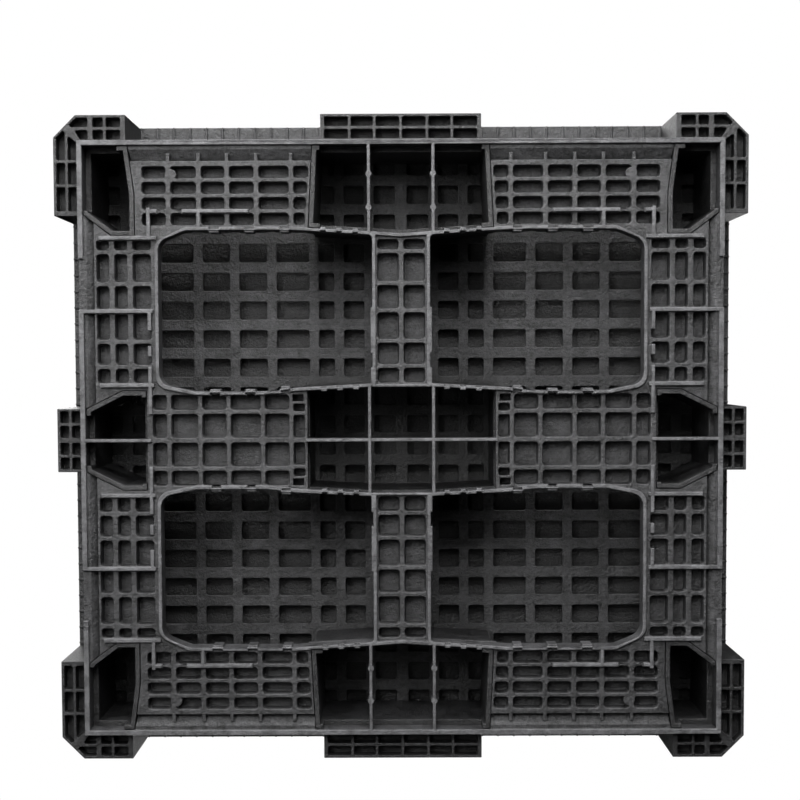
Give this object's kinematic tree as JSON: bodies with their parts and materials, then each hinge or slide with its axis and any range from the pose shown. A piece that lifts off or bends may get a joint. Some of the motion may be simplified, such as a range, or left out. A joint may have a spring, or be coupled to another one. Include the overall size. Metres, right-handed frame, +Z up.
{
  "type": "plastic pallet",
  "caption": "Four-way-entry plastic pallet with a rimmed deck over an open grid, hollow legs with waffled feet, and a ribbed bottom frame with large windows.",
  "frame": {"origin": "on the floor under the middle of the pallet", "axes": "+X along the long (48 in) side, +Y along the short (45 in) side towards the rear, +Z up out of the load deck"},
  "size_m": [1.2192, 1.143, 0.165],
  "materials": {
    "deck_plastic": "moulded black polyethylene, slightly scuffed",
    "leg_plastic": "moulded black polyethylene",
    "frame_plastic": "moulded black polyethylene, scuffed pale on the ribs that meet the floor"
  },
  "bodies": {
    "root": {"top_deck": "deck_plastic", "lower_deck": "deck_plastic", "bottom_frame": "frame_plastic", "centre_leg": "leg_plastic", "side_leg_front": "leg_plastic", "side_leg_rear": "leg_plastic", "end_leg_left": "leg_plastic", "end_leg_right": "leg_plastic", "corner_leg_front_left": "leg_plastic", "corner_leg_front_right": "leg_plastic", "corner_leg_rear_left": "leg_plastic", "corner_leg_rear_right": "leg_plastic"}
  },
  "joints": []
}
